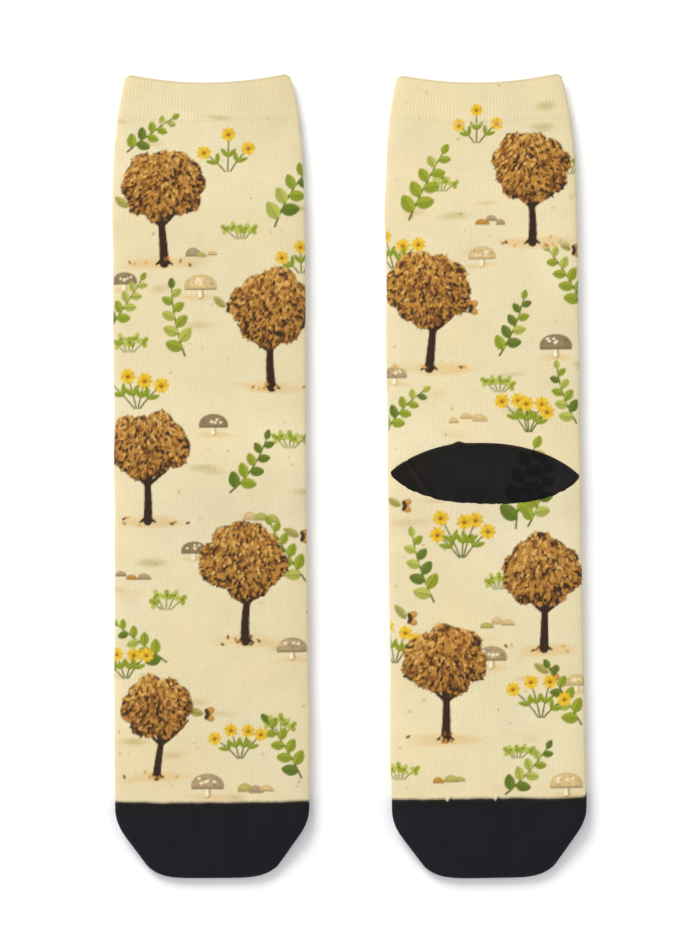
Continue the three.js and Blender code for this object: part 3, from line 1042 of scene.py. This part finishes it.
def sock_heel(side):
    """Heel pocket, pressed flat across one face, its upper edge a fold."""
    upper = side == "right"
    u = np.sin(np.linspace(-math.pi / 2, math.pi / 2, HEEL_COLUMNS))[None, :]
    v = np.linspace(0, 1, HEEL_ROWS)[:, None]
    low, high = heel_low(u), heel_high(u)
    if upper:
        place = u * FLAT_HALF_WIDTH
        low = low + 0.28 * soft_noise(place, 0 * u, (1.4, 9), HEEL_SEEDS["lower edge"])
        high = high + 0.3 * soft_noise(place, 0 * u, (12, 9), HEEL_SEEDS["fold"])
        high = high + HEEL_BUMP * bell(place - HEEL_BUMP_PLACE, 2.2)
    x, y = HEEL_WIDTH / 2 * u + 0 * v, mix(low, high, v)
    z = face_height(x, SOCK_LENGTH / 2 - y, upper)
    if upper:
        z = z + on_upper_face(z) * rumple(side, x, y)
        lift = smoothstep(v, 0, 0.35) * (1 - smoothstep(v, 0.955, 1)) * (1 - np.abs(u) ** 4)
        crease = heel_crease(x, y)
        fold = 0.4 * bell(crease, 1.3) - 0.25 * bell(crease + 2.6, 1.6)
        z = z + HEEL_EDGE_PROUD + HEEL_PROUD * (lift - fold * smoothstep(v, 0.05, 0.3))
    else:
        z = z + HEEL_OFF_FLOOR
    outer = np.stack([x, y, z], axis=-1)
    inner = outer[::-1] + np.array([0, 0, -HEEL_WALL if upper else HEEL_WALL])
    points = np.concatenate([outer, inner, outer[:1]])
    inks = heel_inks(side, x, y, high)
    inks = np.concatenate([inks, inks[::-1], inks[:1]])
    rows = np.concatenate([y, 2 * high - y[::-1] + 1, 2 * high - y[:1] + 2])
    knit = np.stack([np.broadcast_to(x[:1], rows.shape), rows], axis=-1)
    piece = blank(f"{side}_heel_pocket", set_down(side, points, CENTRE), knit, inks)
    return piece


# Materials
def wire(tree, kind, inputs=None, **settings):
    """Adds a node, sets it up, and connects or fills its inputs by name or number."""
    node = tree.nodes.new(kind)
    for key, value in settings.items():
        setattr(node, key, value)
    for key, value in (inputs or {}).items():
        if isinstance(value, bpy.types.NodeSocket):
            tree.links.new(value, node.inputs[key])
        else:
            node.inputs[key].default_value = value
    return node


def maths(tree, operation, first, second=0.0, third=0.0):
    inputs = {0: first, 1: second, 2: third}
    return wire(tree, "ShaderNodeMath", inputs, operation=operation).outputs[0]


def tinted(tree, share, first, second, blend="MIX"):
    inputs = {0: share, 6: first, 7: second}
    node = wire(tree, "ShaderNodeMix", inputs, data_type="RGBA", blend_type=blend)
    return node.outputs[2]


def noise(tree, place, scale, detail, roughness=0.5):
    inputs = {"Vector": place, "Scale": scale, "Detail": detail, "Roughness": roughness}
    return wire(tree, "ShaderNodeTexNoise", inputs).outputs["Fac"]


def ranged(tree, value, low, high, to_low, to_high):
    inputs = {0: value, 1: low, 2: high, 3: to_low, 4: to_high}
    return wire(tree, "ShaderNodeMapRange", inputs).outputs[0]


def knit_pattern(tree, wale, phase=0.0, wander=1.0):
    """Stitches of plain knitting: their height, and how deep in a groove a place is."""
    place = wire(tree, "ShaderNodeUVMap", uv_map="Knit").outputs[0]
    wobble = maths(tree, "MULTIPLY_ADD", noise(tree, place, 90.0, 1.0), wander, phase)
    parts = wire(tree, "ShaderNodeSeparateXYZ", {0: place})
    u = maths(tree, "MULTIPLY_ADD", parts.outputs[0], 1 / (wale * MM), wobble)
    v = maths(tree, "MULTIPLY", parts.outputs[1], 1 / (COURSE * MM))
    offset = maths(tree, "ABSOLUTE", maths(tree, "SUBTRACT", maths(tree, "FRACT", u), 0.5))
    groove = maths(tree, "MULTIPLY", offset, 2.0)
    slant = maths(tree, "MULTIPLY_ADD", offset, 1.1, v)
    loop = maths(tree, "SINE", maths(tree, "MULTIPLY", maths(tree, "FRACT", slant), math.pi))
    round_leg = maths(tree, "SUBTRACT", 1.0, maths(tree, "POWER", groove, 2.5))
    bumpy = maths(tree, "MULTIPLY_ADD", loop, 0.45, 0.55)
    return place, maths(tree, "MULTIPLY", round_leg, bumpy), groove


def yarn_surface(tree, place, height, colour, depth, roughness, sheen):
    """Relief of the stitches under a fine fuzz of fibres, on a matt surface."""
    fluff = noise(tree, place, 2600.0, 2.0, 0.7)
    relief = maths(tree, "MULTIPLY_ADD", fluff, FUZZ, height)
    bump = wire(tree, "ShaderNodeBump", {"Strength": 1.0, "Distance": depth * MM, "Height": relief})
    shader = tree.nodes["Principled BSDF"]
    tree.links.new(colour, shader.inputs["Base Color"])
    tree.links.new(bump.outputs[0], shader.inputs["Normal"])
    shader.inputs["Roughness"].default_value = roughness
    shader.inputs["Specular IOR Level"].default_value = 0.2
    shader.inputs["Sheen Weight"].default_value = sheen
    shader.inputs["Sheen Roughness"].default_value = 0.6


def printed_knit(name, wale, depth, groove_shade, phase=0.0, wander=1.0):
    """White yarn with the print dyed into it: mottled, with painted shade down in the grooves."""
    material = bpy.data.materials.new(name)
    material.use_nodes = True
    tree = material.node_tree
    place, height, groove = knit_pattern(tree, wale, phase, wander)
    dye = wire(tree, "ShaderNodeVertexColor", layer_name="Print").outputs["Color"]
    cloud = ranged(tree, noise(tree, place, 16.0, 4.0, 0.6), 0.3, 0.7, 0.0, 1.0)
    warm = tinted(tree, cloud, (1.03, 1.0, 0.93, 1), (0.97, 0.985, 1.0, 1))
    dye = tinted(tree, 1.0, dye, warm, "MULTIPLY")
    blotch = ranged(tree, noise(tree, place, 75.0, 3.0, 0.65), 0.3, 0.7, 0.965, 1.025)
    grain = ranged(tree, noise(tree, place, 900.0, 2.0, 0.6), 0.3, 0.7, 0.95, 1.04)
    light = maths(tree, "MULTIPLY", blotch, grain)
    grey = wire(tree, "ShaderNodeCombineXYZ", {0: light, 1: light, 2: light}).outputs[0]
    dye = tinted(tree, 1.0, dye, grey, "MULTIPLY")
    uneven = ranged(tree, noise(tree, place, 30.0, 2.0), 0.35, 0.65, 0.3, 1.5)
    # Painted shade: the grooves between stitches are darkened in the colour, unevenly
    painted_groove_shade = maths(tree, "MULTIPLY", maths(tree, "POWER", groove, 4.0), groove_shade)
    painted_groove_shade = maths(tree, "MULTIPLY", painted_groove_shade, uneven)
    dye = tinted(tree, painted_groove_shade, dye, (0.30, 0.25, 0.16, 1))
    yarn_surface(tree, place, height, dye, depth, 0.92, 0.08)
    return material


def black_knit(name):
    """Black yarn with a little pale lint, and no light in the grooves."""
    material = bpy.data.materials.new(name)
    material.use_nodes = True
    tree = material.node_tree
    place, height, groove = knit_pattern(tree, WALE)
    yarn = wire(tree, "ShaderNodeVertexColor", layer_name="Print").outputs["Color"]
    lint = ranged(tree, noise(tree, place, 1500.0, 2.0, 0.7), 0.66, 0.78, 0.0, 0.35)
    yarn = tinted(tree, lint, yarn, (0.030, 0.029, 0.034, 1))
    # Painted shade: the grooves are darkened almost to black
    painted_groove_shade = maths(tree, "MULTIPLY", maths(tree, "POWER", groove, 3.0), 0.4)
    yarn = tinted(tree, painted_groove_shade, yarn, (0.002, 0.002, 0.003, 1))
    yarn_surface(tree, place, height, yarn, BLACK_RELIEF, 0.95, 0.02)
    return material


def dress(piece, material, slot, *nodes):
    piece.data.materials.clear()
    piece.data.materials.append(material)
    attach(piece, "root")
    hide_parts(*nodes)


def rows_between(start, end, step):
    """Even rows, with one more close to each end so that no edge shows in the shading."""
    inner = np.linspace(start + EDGE_ROW, end - EDGE_ROW, int((end - start) / step) + 1)
    return np.concatenate([[start], inner, [end]])


leg_knit = printed_knit("printed_knit", WALE, LEG_RELIEF, LEG_GROOVE_SHADE)
rib_phase = 0.5 - TOP_ARC / RIB_PITCH
rib_knit = printed_knit("printed_rib", RIB_PITCH, RIB_RELIEF, RIB_GROOVE_SHADE, rib_phase, 0.0)
yarn_black = black_knit("black_knit")

cuff_rows = np.concatenate([RIM_ROWS, rows_between(RIM_RADIUS, CUFF_DEPTH, CUFF_ROW_STEP)])
leg_rows = rows_between(CUFF_DEPTH, HEEL_CENTRE, ROW_STEP)
foot_rows = rows_between(HEEL_CENTRE, TOE_LINE + TOE_UNDERLAP, ROW_STEP)

for side in SIDES:
    cuff = sock_tube(side, "cuff_rib", cuff_rows, CUFF_STEP, CUFF_UNDERSIDE_STEP, CUFF_WALL, cuff_ribs)
    dress(cuff, rib_knit, "printed_rib", f"{side}_cuff")
    leg = sock_tube(side, "leg_knit", leg_rows, PRINT_STEP, UNDERSIDE_STEP, WALL)
    dress(leg, leg_knit, "printed_knit", f"{side}_leg")
    foot = sock_tube(side, "foot_knit", foot_rows, PRINT_STEP, UNDERSIDE_STEP, WALL)
    dress(foot, leg_knit, "printed_knit", f"{side}_foot")
    dress(sock_toe(side), yarn_black, "black_knit", f"{side}_toe")
    dress(sock_heel(side), yarn_black, "black_knit", f"{side}_heel")


# Floor, light and camera
FLOOR_SIZE = 6
FLOOR_WHITE = (0.93, 0.93, 0.93, 1)
WINDOW_PLACE = (-1.75, 3.5, 2.8)
WINDOW_SIZE = 2.3
WINDOW_POWER = 176.0
ROOM_WHITE = (0.985, 0.995, 1.02, 1)
ROOM_LIGHT = 0.79
FRAME_HEIGHT = 0.467
FRAME_CENTRE = (0.00025, 0.00475)
LENS = 120.0
SENSOR = 36.0


def plain_floor():
    bpy.ops.object.select_all(action="DESELECT")
    bpy.ops.mesh.primitive_plane_add(size=FLOOR_SIZE)
    floor = bpy.context.object
    floor.name = "floor"
    material = bpy.data.materials.new("white_floor")
    material.use_nodes = True
    shader = material.node_tree.nodes["Principled BSDF"]
    shader.inputs["Base Color"].default_value = FLOOR_WHITE
    shader.inputs["Roughness"].default_value = 1.0
    shader.inputs["Specular IOR Level"].default_value = 0.0
    floor.data.materials.append(material)


def window_light():
    """One broad lamp, high beyond the cuffs and to the left, turned to the middle of the pair."""
    bpy.ops.object.light_add(type="AREA", location=WINDOW_PLACE)
    lamp = bpy.context.object
    lamp.name = "window"
    lamp.data.shape = "DISK"
    lamp.data.size = WINDOW_SIZE
    lamp.data.energy = WINDOW_POWER
    x, y, z = WINDOW_PLACE
    lamp.rotation_euler = (math.atan2(math.hypot(x, y), z), 0, math.atan2(x, -y))


def room_light():
    """Even white light from all round."""
    world = bpy.data.worlds.new("studio")
    bpy.context.scene.world = world
    world.use_nodes = True
    background = world.node_tree.nodes["Background"]
    background.inputs["Color"].default_value = ROOM_WHITE
    background.inputs["Strength"].default_value = ROOM_LIGHT


def overhead_camera():
    """Straight above, with the photograph's frame round the pair."""
    height = FRAME_HEIGHT / 2 / (SENSOR / 2 / LENS)
    bpy.ops.object.camera_add(location=(*FRAME_CENTRE, height), rotation=(0, 0, 0))
    camera = bpy.context.object
    camera.data.lens = LENS
    camera.data.sensor_width = SENSOR
    camera.data.clip_end = 20
    bpy.context.scene.camera = camera


plain_floor()
window_light()
room_light()
overhead_camera()
bpy.context.scene.view_settings.view_transform = "Standard"
